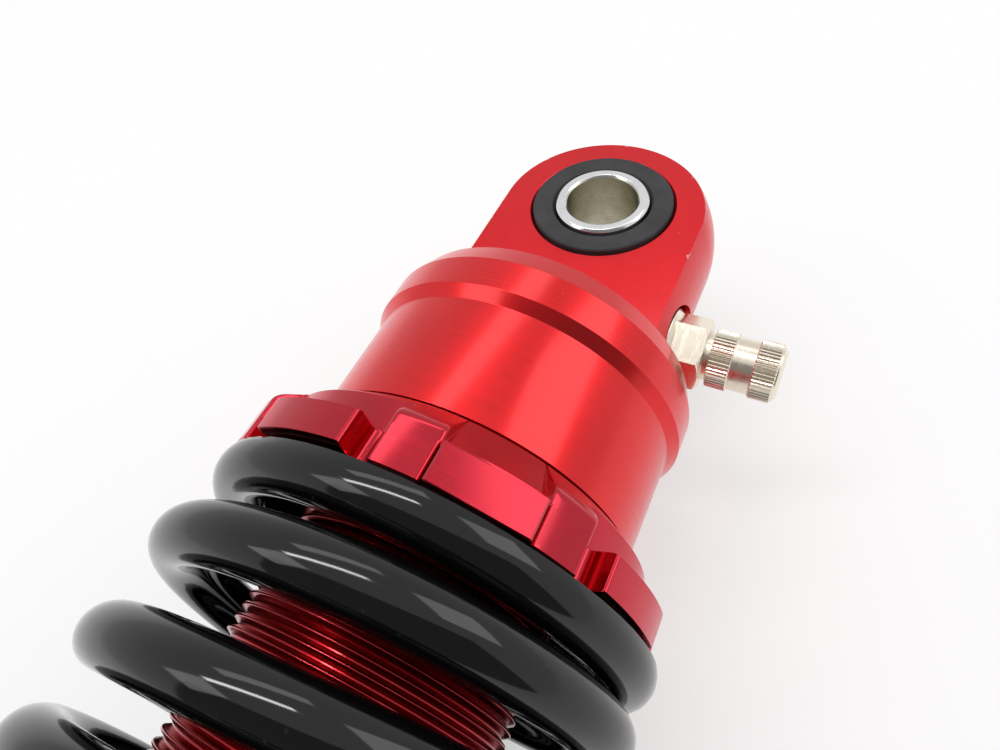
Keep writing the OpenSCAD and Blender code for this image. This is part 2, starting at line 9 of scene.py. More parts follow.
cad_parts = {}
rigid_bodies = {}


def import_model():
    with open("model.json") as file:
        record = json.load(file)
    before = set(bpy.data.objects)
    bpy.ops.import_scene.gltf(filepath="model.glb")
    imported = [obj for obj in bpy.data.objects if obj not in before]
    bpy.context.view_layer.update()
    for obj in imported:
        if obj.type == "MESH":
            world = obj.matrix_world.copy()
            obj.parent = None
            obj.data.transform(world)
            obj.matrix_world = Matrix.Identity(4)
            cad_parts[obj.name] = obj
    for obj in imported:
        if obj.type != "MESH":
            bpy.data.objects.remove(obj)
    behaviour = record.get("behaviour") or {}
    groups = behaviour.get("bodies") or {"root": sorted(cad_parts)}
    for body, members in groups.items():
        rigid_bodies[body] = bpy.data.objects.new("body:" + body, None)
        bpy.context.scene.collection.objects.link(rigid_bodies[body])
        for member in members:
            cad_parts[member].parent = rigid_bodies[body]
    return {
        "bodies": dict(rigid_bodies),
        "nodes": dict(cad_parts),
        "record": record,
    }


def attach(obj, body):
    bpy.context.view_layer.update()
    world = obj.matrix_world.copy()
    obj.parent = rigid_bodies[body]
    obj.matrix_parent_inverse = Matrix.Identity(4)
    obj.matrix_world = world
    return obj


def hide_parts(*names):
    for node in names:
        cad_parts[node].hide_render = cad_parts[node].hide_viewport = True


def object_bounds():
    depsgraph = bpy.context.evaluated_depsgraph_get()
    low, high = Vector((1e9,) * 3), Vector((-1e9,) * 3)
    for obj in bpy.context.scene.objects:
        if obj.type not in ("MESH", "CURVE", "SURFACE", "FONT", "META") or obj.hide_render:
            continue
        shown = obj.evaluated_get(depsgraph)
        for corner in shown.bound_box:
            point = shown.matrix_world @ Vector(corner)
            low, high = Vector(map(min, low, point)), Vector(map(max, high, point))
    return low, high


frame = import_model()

cad_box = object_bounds()
MM = 0.001

# Sizes in millimetres, as the solids have them or as the photograph shows them. A place is a distance
# below the upper eye's centre, or for the valve a distance out from the shock's axis.
EYE_TO_EYE = 260
EYE_R = 19.6
BALL_SHIFT = 0.8
EYE_T = 18.4
EYE_BEVEL = 0.5
BUSH_R = 11.95
BUSH_LEN = 19.8
BUSH_BORE_R = 12.0
SLEEVE_R = 8.0
SLEEVE_BORE_R = 6.05
SLEEVE_LEN = 20.8
SLEEVE_RIM = 0.4
SHOULDER = 28.05
SHOULDER_R = 23.9
FLANGE_TOP = 31.6
FLANGE_END = 36.5
FLANGE_R = 25.3
BELL_TOP = 38.2
BELL_END = 54.7
BELL_R = 24.1
RESERVOIR_TOP = 34.5
RESERVOIR_R = 20.0
VALVE = 18.8
POCKET_R = 6.9
POCKET_FLOOR = 15.0
HEX_R = 5.89
HEX_END = 24.1
HEX_TURN = 26
HEX_BEVEL = (0.8, 0.55)
COLLAR_R = 6.2
COLLAR_START = 16.0
COLLAR_END = 19.2
COLLAR_BEVEL = 0.7
STEM_R = 3.85
STEM_END = 33.4
VALVE_ROOT = 6.0
VALVE_THREAD_R = 4.0
GAS_PORT_R = 1.2
CORE_R = 2.7
CORE_START = 16.6
CAP_START = 25.0
CAP_END = 35.7
CAP_R = 4.65
CAP_BORE_R = 3.95
CAP_BORE_END = 34.1
CAP_BAND = 3.4
CAP_WAIST = 0.4
CAP_DOME_H = 0.7
CAP_DOME_R = 3.75
KNURL_TEETH = 46
KNURL_DEPTH = 0.22
TUBE_BORE_R = 15.5
TUBE_R = 18.4
TUBE_END = 163.1
PLUG_R = 19.95
PLUG_TOP = 47.5
PLUG_END = 54.2
SEAL_GROOVE = (49.8, 51.9)
SEAL_GROOVE_R = 18.3
THREAD_R = 18.6
THREAD_TOP = 56.2
THREAD_END = 112.4
THREAD_PITCH = 1.5
THREAD_TURNS = 37
RING_TOP = 54.76
RING_END = 66.4
RING_BORE_R = 18.68
HUB_R = 23.95
LAND_R = 30.6
LAND_DROP = 4.74
GROOVE_R = 27.2
LOBE_R = 31.3
LOBE_TOP = 61.4
LOBE_END = 66.0
PAD_REACH = 31.1
PAD_WIDTH = 12.6
SPRING_TOP = 66.85
SPRING_END = 226.95
WIRE_R = 3.67
COIL_R = 28.83
COIL_TURNS = 15
COIL_START = 290
CLOSED_PITCH = 8.2
CLOSED_TURNS = 1.15
EASE_TURNS = 0.6
END_FLAT = 2.5
FLAT_CENTRE = 0.43
FLAT_LEAN = 0.44
FLAT_TURNS = 2.1
TIP_T = 1.92
END_DRAW = 1.4
DRAW_TURNS = (0.25, 1.25)
END_SAG = 1.0
SAG_TURNS = (0.2, 0.84)
PERCH_END = 232.0
LOWER_FLANGE_END = 236.0
SEAT_FLANGE_R = 20.0
BOSS_R = 12.5
BOSS_TOP = 226.0
SHAFT_THREAD_R = 6.05

# Angles of the preload ring's pattern, in degrees, with a pad in every other window
PAD_ANGLES = (114, 294)
WINDOW_CENTRES = (114, 204, 294, 24)
PAD_WINDOW_HALF = 12
LOBE_WINDOW_FROM = 24
LOBE_FROM_PAD = (30.3, 57.3)

# Camera as fitted to the photograph, for an image of 1000 by 750 pixels
IMAGE_W = 1000
FOCAL_PIXELS = 700
SENSOR_MM = 36
CAMERA_PLACE = (-88.71, -35.63, 90.43)
CAMERA_DOWN = 52.77
CAMERA_HEADING = 36.4
CAMERA_ROLL = -13.32


# Shader nodes

def node(tree, kind, inputs=None, **settings):
    """Adds a shader node. An input is a socket to link or a plain value."""
    made = tree.nodes.new("ShaderNode" + kind)
    for key, value in settings.items():
        setattr(made, key, value)
    for key, value in (inputs or {}).items():
        if isinstance(value, bpy.types.NodeSocket):
            tree.links.new(value, made.inputs[key])
        else:
            made.inputs[key].default_value = value
    return made


def math(tree, operation, a, b=0.0):
    """One operation on two numbers."""
    return node(tree, "Math", {0: a, 1: b}, operation=operation).outputs[0]


def noise(tree, vector, scale, detail=2.0, roughness=0.5, dimensions="3D"):
    """Fractal noise from 0 to 1."""
    inputs = {"Vector": vector, "Scale": scale, "Detail": detail, "Roughness": roughness}
    return node(tree, "TexNoise", inputs, noise_dimensions=dimensions).outputs["Fac"]


def ramp(tree, factor, low, high, start=0.0, end=1.0):
    """Maps factor from the range low to high onto start to end, held at both ends."""
    inputs = {"Value": factor, "From Min": low, "From Max": high, "To Min": start, "To Max": end}
    return node(tree, "MapRange", inputs).outputs["Result"]


def blend_colour(tree, factor, a, b):
    """Colour a where the factor is 0 and b where it is 1."""
    made = node(tree, "Mix", data_type="RGBA")
    for socket, value in zip((made.inputs[0], made.inputs[6], made.inputs[7]), (factor, a, b)):
        if isinstance(value, bpy.types.NodeSocket):
            tree.links.new(value, socket)
        else:
            socket.default_value = value
    return made.outputs[2]


def bump(tree, height, strength, depth_mm):
    """Surface normal of a fine relief."""
    inputs = {"Height": height, "Strength": strength, "Distance": depth_mm * MM}
    return node(tree, "Bump", inputs).outputs["Normal"]


def opaque(colour):
    """A colour with full alpha."""
    return (*colour, 1.0)


def start_material(name):
    """A new material with a plain surface shader, and its tree, shader and object coordinates."""
    made = bpy.data.materials.new(name)
    made.use_nodes = True
    tree = made.node_tree
    shader = tree.nodes["Principled BSDF"]
    place = node(tree, "TexCoord").outputs["Object"]
    return made, tree, shader, place


def round_place(tree, place, axis, centre=(0, 0, 0)):
    """Coordinates along an axis and away from it, so that a pattern runs round the axis."""
    offset = [c * MM for c in centre]
    moved = node(tree, "VectorMath", {0: place, 1: offset}, operation="SUBTRACT").outputs[0]
    split = node(tree, "SeparateXYZ", {0: moved}).outputs
    across = [split[i] for i in range(3) if i != axis]
    squares = [math(tree, "MULTIPLY", s, s) for s in across]
    radius = math(tree, "SQRT", math(tree, "ADD", squares[0], squares[1]))
    return node(tree, "CombineXYZ", {0: split[axis], 1: radius}).outputs[0]


def link(tree, socket, target):
    """Links an output to an input."""
    tree.links.new(socket, target)


# Materials. Noise scales are per metre.

WEAR_FROM = 0.34
WEAR_FULL = 0.2
COAT_ROUGHNESS = 0.14
COAT_TINT = (1.0, 0.72, 0.74)
RIM_FROM = 0.1
RIM_FULL = 0.3
BORE_DULLNESS = 0.16


def worn_edges(tree, place):
    """Small chips along the sharp edges between the eyes' flats and their ball ends."""
    split = node(tree, "SeparateXYZ", {0: place}).outputs
    past_upper = math(tree, "MAXIMUM", math(tree, "ADD", split[0], BALL_SHIFT * MM), 0.0)
    lower_ball = (BALL_SHIFT - EYE_TO_EYE) * MM
    past_lower = math(tree, "MAXIMUM", math(tree, "SUBTRACT", lower_ball, split[0]), 0.0)
    past = math(tree, "ADD", past_upper, past_lower)
    from_ball = node(tree, "CombineXYZ", {0: past, 1: split[1], 2: split[2]}).outputs[0]
    reach = node(tree, "VectorMath", {0: from_ball}, operation="LENGTH").outputs["Value"]
    at_wall = ramp(tree, reach, (EYE_R - WEAR_FROM) * MM, (EYE_R - WEAR_FULL) * MM)
    half = EYE_T / 2
    height = math(tree, "ABSOLUTE", split[2])
    at_flat = ramp(tree, height, (half - WEAR_FROM) * MM, (half - WEAR_FULL) * MM)
    chip = ramp(tree, noise(tree, place, 420, 3, 0.7), 0.60, 0.64)
    return math(tree, "MULTIPLY", math(tree, "MULTIPLY", at_wall, at_flat), chip)


def anodised(name, colour, deep, roughness, coat, axis=None, lines=0.02, edges=False):
    """Dyed anodised alloy: coloured metal under a clear hard skin, with tool marks and a few pale pits."""
    made, tree, shader, place = start_material(name)
    shader.inputs["Metallic"].default_value = 1.0
    shader.inputs["Coat Weight"].default_value = coat
    shader.inputs["Coat Roughness"].default_value = COAT_ROUGHNESS
    shader.inputs["Specular Tint"].default_value = opaque(COAT_TINT)
    cloud = noise(tree, place, 110, 3)
    tint = blend_colour(tree, ramp(tree, cloud, 0.3, 0.7), opaque(deep), opaque(colour))
    pale = opaque([0.5 * c + 0.35 for c in colour])
    pit = ramp(tree, noise(tree, place, 1500, 1), 0.80, 0.86, 0.0, 0.30)
    if edges:
        pit = math(tree, "MAXIMUM", pit, worn_edges(tree, place))
    link(tree, blend_colour(tree, pit, tint, pale), shader.inputs["Base Color"])
    if axis is None:
        marks = noise(tree, place, 1100, 4)
    else:
        marks = noise(tree, round_place(tree, place, axis), 2600, 3, 0.6, "2D")
    rough = ramp(tree, marks, 0.25, 0.75, roughness - 0.04, roughness + 0.05)
    link(tree, rough, shader.inputs["Roughness"])
    link(tree, bump(tree, marks, lines, 0.05), shader.inputs["Normal"])
    return made


def enamel(name):
    """Thick gloss black enamel, very slightly wavy, with a little dust."""
    made, tree, shader, place = start_material(name)
    dust = ramp(tree, noise(tree, place, 1300, 2), 0.70, 0.80)
    soot = opaque((0.0022, 0.0022, 0.0025))
    grey = opaque((0.016, 0.016, 0.017))
    link(tree, blend_colour(tree, dust, soot, grey), shader.inputs["Base Color"])
    wave = noise(tree, place, 110, 2)
    link(tree, ramp(tree, wave, 0.3, 0.7, 0.06, 0.10), shader.inputs["Roughness"])
    link(tree, bump(tree, wave, 0.04, 0.4), shader.inputs["Normal"])
    return made


def rubber(name, colour, roughness, grain=900, depth=0.08):
    """Moulded rubber with a fine grain and a dusty bloom."""
    made, tree, shader, place = start_material(name)
    bloom = ramp(tree, noise(tree, place, 220, 4), 0.35, 0.75)
    pale = opaque([1.3 * c + 0.004 for c in colour])
    link(tree, blend_colour(tree, bloom, opaque(colour), pale), shader.inputs["Base Color"])
    fine = noise(tree, place, grain, 3)
    rough = ramp(tree, fine, 0.3, 0.7, roughness - 0.08, roughness + 0.08)
    link(tree, rough, shader.inputs["Roughness"])
    link(tree, bump(tree, fine, 0.3, depth), shader.inputs["Normal"])
    shader.inputs["Specular IOR Level"].default_value = 0.3
    return made


def metal_marks(tree, place, axis, centre, scale):
    """Fine tool marks that run round an axis, or an even grain where there is none."""
    if axis is None:
        return noise(tree, place, scale, 3)
    return noise(tree, round_place(tree, place, axis, centre), scale, 3, 0.6, "2D")


def bare_metal(name, colour, shade, roughness, axis=None, centre=(0, 0, 0), lines=0.05, scale=1800):
    """Plated, ground or turned metal with tool marks round its axis and a slight stain."""
    made, tree, shader, place = start_material(name)
    shader.inputs["Metallic"].default_value = 1.0
    stain = ramp(tree, noise(tree, place, 200, 3), 0.35, 0.7)
    link(tree, blend_colour(tree, stain, opaque(shade), opaque(colour)), shader.inputs["Base Color"])
    marks = metal_marks(tree, place, axis, centre, scale)
    rough = ramp(tree, marks, 0.3, 0.7, roughness - 0.04, roughness + 0.06)
    link(tree, rough, shader.inputs["Roughness"])
    link(tree, bump(tree, marks, lines, 0.04), shader.inputs["Normal"])
    return made


def bolt_sleeve(name, centre):
    """Bright steel sleeve with ground rims, and a dull bore whose darker olive-grey colour is painted shade.
    """
    made, tree, shader, place = start_material(name)
    shader.inputs["Metallic"].default_value = 1.0
    about = round_place(tree, place, Z, centre)
    radius = node(tree, "SeparateXYZ", {0: about}).outputs[1]
    rim = ramp(tree, radius, (SLEEVE_BORE_R + RIM_FROM) * MM, (SLEEVE_BORE_R + RIM_FULL) * MM)
    stain = ramp(tree, noise(tree, place, 380, 4, 0.6), 0.35, 0.7)
    # Painted shade: the bore's colours are darker olive-grey than the rims, standing in for the shade inside
    # it; the stain blend between them is the metal's own.
    bore = blend_colour(tree, stain, opaque((0.52, 0.50, 0.40)), opaque((0.66, 0.65, 0.56)))
    bright = blend_colour(tree, stain, opaque((0.84, 0.84, 0.85)), opaque((0.92, 0.92, 0.93)))
    link(tree, blend_colour(tree, rim, bore, bright), shader.inputs["Base Color"])
    marks = noise(tree, about, 2200, 3, 0.6, "2D")
    fine = ramp(tree, marks, 0.3, 0.7, 0.10, 0.18)
    dull = ramp(tree, rim, 0.0, 1.0, BORE_DULLNESS, 0.0)
    link(tree, math(tree, "ADD", fine, dull), shader.inputs["Roughness"])
    link(tree, bump(tree, marks, 0.04, 0.04), shader.inputs["Normal"])
    return made


X, Y, Z = 0, 1, 2
UPPER_EYE = (0, 0, 0)
LOWER_EYE = (-EYE_TO_EYE, 0, 0)
VALVE_AXIS = (-VALVE, 0, 0)

red_turned = anodised("red_turned", (0.76, 0.010, 0.014), (0.70, 0.008, 0.011), 0.30, 0.7, X)
red_milled = anodised("red_milled", (0.70, 0.008, 0.015), (0.65, 0.006, 0.012), 0.36, 0.6, edges=True)
crimson = anodised("crimson", (0.54, 0.005, 0.024), (0.48, 0.004, 0.020), 0.17, 0.7, X, 0.03)
dark_red = anodised("dark_red", (0.44, 0.006, 0.015), (0.37, 0.005, 0.012), 0.26, 0.6, X)
black_enamel = enamel("black_enamel")
matt_black = rubber("matt_black", (0.010, 0.010, 0.011), 0.6, 1600, 0.02)
bush_rubber = rubber("bush_rubber", (0.030, 0.030, 0.032), 0.6, 1500, 0.03)
seal_rubber = rubber("seal_rubber", (0.018, 0.018, 0.02), 0.42, 1400, 0.04)
elastomer = rubber("elastomer", (0.55, 0.36, 0.06), 0.62, 700, 0.2)
upper_steel = bolt_sleeve("upper_steel", UPPER_EYE)
lower_steel = bolt_sleeve("lower_steel", LOWER_EYE)
shaft_chrome = bare_metal("shaft_chrome", (0.80, 0.80, 0.82), (0.74, 0.74, 0.76), 0.10, X)
nickel = bare_metal("nickel", (0.90, 0.82, 0.69), (0.87, 0.78, 0.64), 0.24, Y, VALVE_AXIS, 0.008)
brass = bare_metal("brass", (0.72, 0.52, 0.22), (0.58, 0.40, 0.16), 0.28, Y, VALVE_AXIS)
alloy = bare_metal("alloy", (0.72, 0.73, 0.75), (0.60, 0.61, 0.63), 0.32, X)
bronze = bare_metal("bronze", (0.55, 0.37, 0.18), (0.42, 0.28, 0.13), 0.38, X)
ground_steel = bare_metal("ground_steel", (0.60, 0.60, 0.62), (0.48, 0.48, 0.49), 0.34, X)

finish_of_slot = {
    "red_anodised": red_turned, "crimson_anodised": crimson, "dark_red_anodised": dark_red,
    "black_enamel": black_enamel, "bush_rubber": bush_rubber, "bright_steel": upper_steel,
    "nickel_plate": nickel, "valve_brass": brass, "plain_alloy": alloy, "seal_rubber": seal_rubber,
    "guide_bronze": bronze, "plain_steel": ground_steel, "elastomer": elastomer,
}
slot_of_node = {part["node"]: part["material_slot"] for part in frame["record"]["subparts"]}


# Mesh helpers. Shapes are in millimetres until a piece is made of them.

SOFT_FROM = 28


def shock(r, place, angle):
    """A point about the shock's axis, with the angle from plus Y towards plus Z."""
    return (-place, r * cos(angle), r * sin(angle))


def about_eye(place):
    """Points about an eye's bore, for an eye at that place."""
    return lambda r, height, angle: (-place + r * cos(angle), r * sin(angle), height)


def about_valve(r, out, angle):
    """A point about the valve's axis, which points to minus Y."""
    return (-VALVE + r * cos(angle), -out, r * sin(angle))


def rounded(corners, steps=4):
    """A closed outline of (x, y, radius) corners, with each corner turned into an arc."""
    outline = []
    for i, (x, y, radius) in enumerate(corners):
        here = Vector((x, y))
        to_last = (Vector(corners[i - 1][:2]) - here).normalized()
        to_next = (Vector(corners[(i + 1) % len(corners)][:2]) - here).normalized()
        if radius == 0:
            outline.append((x, y))
            continue
        half = acos(max(-1.0, min(1.0, to_last.dot(to_next)))) / 2
        reach = radius / tan(half)
        centre = here + (to_last + to_next).normalized() * radius / sin(half)
        first = here + to_last * reach - centre
        last = here + to_next * reach - centre
        for k in range(steps + 1):
            arm = first.lerp(last, k / steps).normalized() * radius
            outline.append(tuple(centre + arm))
    return outline


def lathe(profile, where, segments=144):
    """Turns a closed profile of (radius, height) points a full turn. Points on the axis become poles."""
    verts, rings = [], []
    for r, height in profile:
        if r < 1e-6:
            rings.append([len(verts)] * segments)
            verts.append(where(0.0, height, 0.0))
        else:
            rings.append(list(range(len(verts), len(verts) + segments)))
            verts += [where(r, height, 2 * pi * k / segments) for k in range(segments)]
    return verts, ring_faces(rings, closed=True)


def ring_faces(rings, closed):
    """Faces between neighbouring rings of vertices. Repeated vertices are left out."""
    faces = []
    count = len(rings)
    for i in range(count if closed else count - 1):
        a, b = rings[i], rings[(i + 1) % count]
        for k in range(len(a)):
            n = (k + 1) % len(a)
            corners = list(dict.fromkeys((a[k], a[n], b[n], b[k])))
            if len(corners) > 2:
                faces.append(corners)
    return faces


def clean_mesh(name, shape, scale=1.0):
    """A mesh from a shape, with doubled points joined and its faces turned outwards."""
    verts, faces = shape
    mesh = bpy.data.meshes.new(name)
    mesh.from_pydata([Vector(v) * scale for v in verts], [], faces)
    work = bmesh.new()
    work.from_mesh(mesh)
    bmesh.ops.remove_doubles(work, verts=work.verts, dist=0.001 * scale)
    bmesh.ops.recalc_face_normals(work, faces=work.faces)
    work.to_mesh(mesh)
    work.free()
    return mesh


def shaped(shape, *steps):
    """A shape after exact Boolean steps. Each step is an operation and another shape."""
    used = []
    for tool in [shape] + [tool for operation, tool in steps]:
        made = bpy.data.objects.new("tool", clean_mesh("tool", tool))
        bpy.context.scene.collection.objects.link(made)
        used.append(made)
    for made, (operation, tool) in zip(used[1:], steps):
        step = used[0].modifiers.new("step", "BOOLEAN")
        step.operation = operation
        step.solver = "EXACT"
        step.object = made
    result = used[0].evaluated_get(bpy.context.evaluated_depsgraph_get()).to_mesh()
    verts = [tuple(v.co) for v in result.vertices]
    faces = [tuple(p.vertices) for p in result.polygons]
    for made in used:
        mesh = made.data
        bpy.data.objects.remove(made)
        bpy.data.meshes.remove(mesh)
    return verts, faces


def soften(made, width_mm, steps):
    """Rounds the sharp edges of a piece."""
    edge = made.modifiers.new("soft_edges", "BEVEL")
    edge.width = width_mm * MM
    edge.segments = steps
    edge.limit_method = "ANGLE"
    edge.angle_limit = radians(SOFT_FROM)


def piece(name, shape, finish, body, slot, *nodes, sharp=35, bevel=0.0):
    """A new piece of the object that rides on a body and stands for the named solids."""
    mesh = clean_mesh(name, shape, MM)
    mesh.shade_smooth()
    mesh.set_sharp_from_angle(angle=radians(sharp))
    mesh.materials.append(finish)
    made = bpy.data.objects.new(name, mesh)
    bpy.context.scene.collection.objects.link(made)
    if bevel:
        soften(made, bevel, 2)
    even = made.modifiers.new("even_shading", "WEIGHTED_NORMAL")
    even.keep_sharp = not bevel
    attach(made, body)
    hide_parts(*nodes)
    return made


def dress(name, finish, bevel_mm=0.0, steps=2):
    """Gives a solid its finish and, where it shows, soft edges."""
    solid = frame["nodes"][name]
    solid.data.materials.clear()
    solid.data.materials.append(finish)
    if bevel_mm:
        weld = solid.modifiers.new("weld", "WELD")
        weld.merge_threshold = 1e-6
        soften(solid, bevel_mm, steps)
        even = solid.modifiers.new("even_shading", "WEIGHTED_NORMAL")
        even.keep_sharp = True


# Eyes and cap

BALL_STEPS = 40
EYE_SEGMENTS = 192
CUT_PAST = 3.0
SINK = 0.6
FINE_BEVEL = 0.12


def slab(half):
    """A wide box between two flats, square to the eye bores and as long as the shock."""
    x_from, x_to = -EYE_TO_EYE - 2 * EYE_R, 2 * EYE_R
    sides = (-2 * EYE_R, 2 * EYE_R)
    corners = [(x, y, z) for z in (-half, half) for y in sides for x in (x_from, x_to)]
    return corners, [(0, 2, 3, 1), (4, 5, 7, 6), (0, 1, 5, 4), (2, 6, 7, 3), (0, 4, 6, 2), (1, 3, 7, 5)]


def bush_bore(place):
    """Cutter for the bush bore of the eye at that place, with bevelled mouths."""
    half = EYE_T / 2
    mouth_r = BUSH_BORE_R + EYE_BEVEL + CUT_PAST
    far = half + CUT_PAST
    profile = [
        (0, -far), (mouth_r, -far), (BUSH_BORE_R, EYE_BEVEL - half),
        (BUSH_BORE_R, half - EYE_BEVEL), (mouth_r, far), (0, far),
    ]
    return lathe(profile, about_eye(place))


def eye_blank(ball, outward, to):
    """Ball end and round neck about the shock's axis, from the ball's place to another place."""
    arc = [radians(90 * k / BALL_STEPS) for k in range(BALL_STEPS + 1)]
    profile = [(EYE_R * sin(a), ball + outward * EYE_R * cos(a)) for a in arc]
    return lathe(profile + [(EYE_R, to), (0, to)], shock, EYE_SEGMENTS)


def plain_cylinder(r, start, end):
    """Profile of a plain round cutter."""
    return [(0, start), (r, start), (r, end), (0, end)]


flats = slab(EYE_T / 2)
valve_pocket = lathe(plain_cylinder(POCKET_R, POCKET_FLOOR, 2 * EYE_R), about_valve)
upper_blank = eye_blank(BALL_SHIFT, -1, SHOULDER + SINK)
upper_eye = shaped(upper_blank, ("INTERSECT", flats), ("DIFFERENCE", bush_bore(0)),
                   ("DIFFERENCE", valve_pocket))
lower_blank = eye_blank(EYE_TO_EYE - BALL_SHIFT, 1, LOWER_FLANGE_END - SINK)
lower_eye = shaped(lower_blank, ("INTERSECT", flats), ("DIFFERENCE", bush_bore(EYE_TO_EYE)))
piece("upper_eye", upper_eye, red_milled, "damper", "red_anodised", "eyelet_cap", bevel=FINE_BEVEL)
piece("lower_eye", lower_eye, red_milled, "shaft_assembly", "red_anodised", "lower_eyelet", bevel=FINE_BEVEL)

cap_profile = rounded([
    (0, SHOULDER, 0), (SHOULDER_R, SHOULDER, 0.2),
    (FLANGE_R, FLANGE_TOP, 0.25), (FLANGE_R, FLANGE_END, 0.16),
    (BELL_R, BELL_TOP, 0.12), (BELL_R, BELL_END, 0.08),
    (RESERVOIR_R, BELL_END, 0.15), (RESERVOIR_R, RESERVOIR_TOP, 0.5), (0, RESERVOIR_TOP, 0),
])
piece("cap_body", lathe(cap_profile, shock, 240), red_turned, "damper", "red_anodised", "eyelet_cap")

seat_profile = rounded([
    (SHAFT_THREAD_R, BOSS_TOP, 0.3), (BOSS_R, BOSS_TOP, 0.5), (BOSS_R, PERCH_END, 0),
    (SEAT_FLANGE_R, PERCH_END, 0.3), (SEAT_FLANGE_R, LOWER_FLANGE_END, 0.6),
    (SHAFT_THREAD_R, LOWER_FLANGE_END, 0),
])
piece("lower_seat", lathe(seat_profile, shock), red_turned, "shaft_assembly", "red_anodised",
      "lower_eyelet")


# Bushes

def both_ends(top):
    """A profile with the same rim at both ends."""
    return top + [(r, -height, radius) for r, height, radius in reversed(top)]


def rubber_profile():
    """Rubber bush: a flat face with a crisp outer rim and a rounded groove beside the sleeve."""
    half = BUSH_LEN / 2
    inner = SLEEVE_R + 0.05
    return rounded(both_ends([
        (inner, half - 1.2, 0), (inner + 0.15, half - 0.8, 0.1), (inner + 0.55, half, 0.25),
        (BUSH_R - 0.25, half, 0.12), (BUSH_R, half - 0.25, 0.12),
    ]))


def sleeve_profile():
    """Steel sleeve with bevelled, softened rims."""
    half = SLEEVE_LEN / 2
    rim = SLEEVE_RIM
    return rounded(both_ends([
        (SLEEVE_BORE_R, half - rim, 0.12), (SLEEVE_BORE_R + rim, half, 0.12),
        (SLEEVE_R - rim, half, 0.15), (SLEEVE_R, half - rim, 0.15),
    ]), 3)


for side, place, body, steel in (("upper", 0, "damper", upper_steel),
                                 ("lower", EYE_TO_EYE, "shaft_assembly", lower_steel)):
    about = about_eye(place)
    piece(side + "_rubber", lathe(rubber_profile(), about), bush_rubber, body, "bush_rubber",
          side + "_bush_rubber")
    piece(side + "_steel", lathe(sleeve_profile(), about), steel, side + "_sleeve", "bright_steel",
          side + "_bush_sleeve")


# Gas valve

TOOTH = (0.0, 0.55, 1.0, 1.0, 0.55, 0.0)
BAND_EASE = 0.18


def dust_cap():
    """Dust cap with two knurled bands, a plain waist, a bevelled end and its bore."""
    segments = KNURL_TEETH * len(TOOTH)
    dome = CAP_END - CAP_DOME_H
    waist_r = CAP_R - CAP_WAIST
    root_r = CAP_R - KNURL_DEPTH
    rings, verts = [], []

    def add(out, r, tooth=0.0):
        rings.append(list(range(len(verts), len(verts) + segments)))
        for k in range(segments):
            verts.append(about_valve(r + tooth * TOOTH[k % len(TOOTH)], out, 2 * pi * k / segments))

    add(CAP_START, CAP_BORE_R)
    for start, end in ((CAP_START, CAP_START + CAP_BAND), (dome - CAP_BAND, dome)):
        add(start, waist_r)
        add(start, root_r - BAND_EASE / 2)
        add(start + BAND_EASE, root_r, KNURL_DEPTH)
        add(end - BAND_EASE, root_r, KNURL_DEPTH)
        add(end, root_r - BAND_EASE / 2)
        add(end, waist_r)
    for out, r in ((dome, root_r - 0.1), (dome + 0.2, root_r - 0.16), (CAP_END - 0.12, CAP_DOME_R),
                   (CAP_END - 0.02, CAP_DOME_R - 0.3), (CAP_END, CAP_DOME_R - 1.2)):
        add(out, r)
    for out in (CAP_END, CAP_BORE_END):
        rings.append([len(verts)] * segments)
        verts.append(about_valve(0, out, 0))
    add(CAP_BORE_END, CAP_BORE_R)
    return verts, ring_faces(rings, closed=True)


def valve_hexagon():
    """The valve's hexagon, with a turned bevel at its outer end and a hole for the stem."""
    start = COLLAR_END - SINK
    turns = [radians(HEX_TURN + 60 * k) for k in range(6)]
    corners = [about_valve(HEX_R, out, turn) for out in (start, HEX_END) for turn in turns]
    sides = [(k, (k + 1) % 6, (k + 1) % 6 + 6, k + 6) for k in range(6)]
    prism = corners, [tuple(range(6)), tuple(range(6, 12))] + sides
    clear_r = HEX_R + 0.1
    before, past = start - 1, HEX_END + 1
    across, along = HEX_BEVEL
    turned = lathe([(0, before), (clear_r, before), (clear_r, HEX_END - along), (HEX_R - across, HEX_END),
                    (0, HEX_END)], about_valve)
    hole = lathe(plain_cylinder(STEM_R, before, past), about_valve)
    return shaped(prism, ("INTERSECT", turned), ("DIFFERENCE", hole))


stem_profile = rounded([
    (GAS_PORT_R, VALVE_ROOT, 0), (VALVE_THREAD_R, VALVE_ROOT, 0.3), (VALVE_THREAD_R, COLLAR_START, 0),
    (COLLAR_R, COLLAR_START, 0.3), (COLLAR_R, COLLAR_END - COLLAR_BEVEL, 0.2),
    (COLLAR_R - COLLAR_BEVEL, COLLAR_END, 0.1),
    (STEM_R, COLLAR_END, 0), (STEM_R, STEM_END, 0.2), (CORE_R, STEM_END, 0.2), (CORE_R, CORE_START, 0),
    (GAS_PORT_R, CORE_START, 0),
])
piece("dust_cap", dust_cap(), nickel, "valve_cap", "nickel_plate", "valve_cap", sharp=24)
piece("valve_hexagon", valve_hexagon(), nickel, "damper", "nickel_plate", "valve_body", bevel=FINE_BEVEL)
piece("valve_stem", lathe(stem_profile, about_valve, 96), nickel, "damper", "nickel_plate", "valve_body")


# Tube with the thread that the ring runs on

# One groove of the thread, as distances along the tube and depths below the crest
THREAD_FORM = (
    (0.10, 0.0), (0.22, 0.08), (0.60, 0.80), (0.68, 0.88),
    (0.82, 0.88), (0.90, 0.80), (1.28, 0.08), (1.40, 0.0),
)

